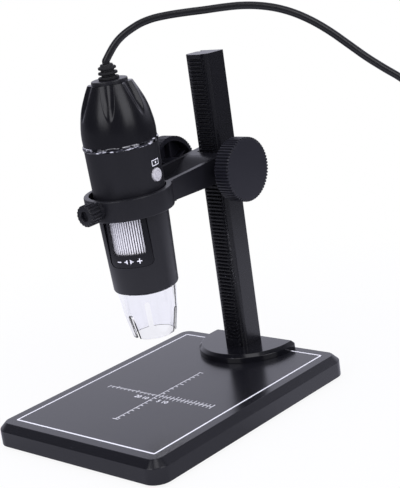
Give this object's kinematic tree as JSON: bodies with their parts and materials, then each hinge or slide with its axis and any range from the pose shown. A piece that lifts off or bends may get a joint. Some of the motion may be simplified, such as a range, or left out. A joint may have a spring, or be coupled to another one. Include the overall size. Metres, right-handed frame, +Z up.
{
  "type": "digital microscope on rack and pinion stand",
  "caption": "Handheld USB digital microscope clamped in the ring of a carriage that a rack and pinion lifts along a column on a flat base.",
  "frame": {"origin": "on the table, under the middle of the base, at the undersides of the rubber feet", "axes": "+Z up along the column, +Y to the back where the column stands, +X to the right seen from the front"},
  "size_m": [0.2216, 0.1812, 0.1783],
  "materials": {
    "base": "dark slate moulded plastic, semi-gloss",
    "black": "black moulded plastic, satin",
    "column": "black painted metal, semi-gloss",
    "knob": "charcoal moulded plastic, fine satin",
    "rubber": "soft black rubber",
    "cord": "satin black jacket",
    "chrome": "bright plated",
    "steel": "plain steel",
    "silver": "silver painted plastic",
    "clear": "clear plastic with a faint cool tint",
    "glass": "coated lens glass",
    "board": "green circuit board",
    "chip": "black component body",
    "led": "milky lamp lens",
    "nylon": "natural nylon"
  },
  "bodies": {
    "stand": {"base_shell": "base", "bottom_cover": "black", "ballast_plate": "steel", "rubber_foot_1": "rubber", "rubber_foot_2": "rubber", "rubber_foot_3": "rubber", "rubber_foot_4": "rubber", "cover_screw_1": "steel", "cover_screw_2": "steel", "cover_screw_3": "steel", "cover_screw_4": "steel", "column_foot": "column", "rack_column": "column", "column_screw_1": "steel", "column_screw_2": "steel", "usb_cord": "cord", "cord_coil": "cord", "coil_tie": "rubber", "plug_body": "rubber", "plug_shell": "steel", "plug_tongue": "nylon"},
    "carriage": {"carriage_arm": "black", "sleeve_liner": "nylon"},
    "pinion": {"pinion_shaft": "steel", "knob_right": "knob", "knob_left": "knob"},
    "clamp_screw": {"clamp_stud": "steel"},
    "clamp_grip": {"clamp_knob": "black"},
    "microscope": {"main_barrel": "black", "chrome_ring": "chrome", "tail_housing": "black", "end_disc": "black", "strain_relief": "rubber", "focus_retainer": "nylon", "spacer_tube": "black", "sensor_board": "board", "sensor_chip": "chip", "main_board": "board", "button_switch": "chip", "led_board": "board", "led_1": "led", "led_2": "led", "led_3": "led", "led_4": "led", "led_5": "led", "led_6": "led", "led_7": "led", "led_8": "led"},
    "focus": {"focus_ring": "silver"},
    "lens": {"lens_barrel": "black", "front_lens": "glass"},
    "button": {"snap_button": "silver"},
    "hood": {"nose_hood": "clear"}
  },
  "joints": [
    {"name": "lift", "type": "slide", "parent": "stand", "child": "carriage", "axis": [0, 0, 1], "range_m": [-0.0235, 0.043], "deforming": ["usb_cord"]},
    {"name": "pinion_spin", "type": "hinge", "parent": "carriage", "child": "pinion", "pos_m": [0, 0.04174, 0.1033], "axis": [1, 0, 0], "range_deg": [-805, 440]},
    {"name": "clamp_travel", "type": "slide", "parent": "carriage", "child": "clamp_screw", "axis": [0, -0.9994, -0.0349], "range_m": [0, 0.0024]},
    {"name": "clamp_turn", "type": "hinge", "parent": "clamp_screw", "child": "clamp_grip", "pos_m": [0, -0.02924, 0.10132], "axis": [0, -0.9994, -0.0349], "range_deg": [0, 1081]},
    {"name": "scope_turn", "type": "hinge", "parent": "carriage", "child": "microscope", "pos_m": [0, -0.00773, 0.10157], "axis": [0, -0.0349, 0.9994], "range_deg": [-60, 60]},
    {"name": "focus_turn", "type": "hinge", "parent": "microscope", "child": "focus", "pos_m": [0, -0.00773, 0.10157], "axis": [0, -0.0349, 0.9994], "range_deg": [-140, 140]},
    {"name": "lens_slide", "type": "slide", "parent": "microscope", "child": "lens", "axis": [0, -0.0349, 0.9994], "range_m": [-0.003, 0.003]},
    {"name": "button_press", "type": "slide", "parent": "microscope", "child": "button", "axis": [-0.989, -0.1477, -0.0052], "range_m": [0, 0.0004], "stiffness_N_per_m": 300},
    {"name": "hood_pull", "type": "slide", "parent": "microscope", "child": "hood", "axis": [0, 0.0349, -0.9994], "range_m": [0, 0.004]}
  ],
  "couplings": [
    {"joint": "pinion_spin", "follows": "lift", "rad_per_m": -326.4},
    {"joint": "clamp_turn", "follows": "clamp_travel", "rad_per_m": 7854},
    {"joint": "lens_slide", "follows": "focus_turn", "m_per_rad": 0.0012277}
  ]
}
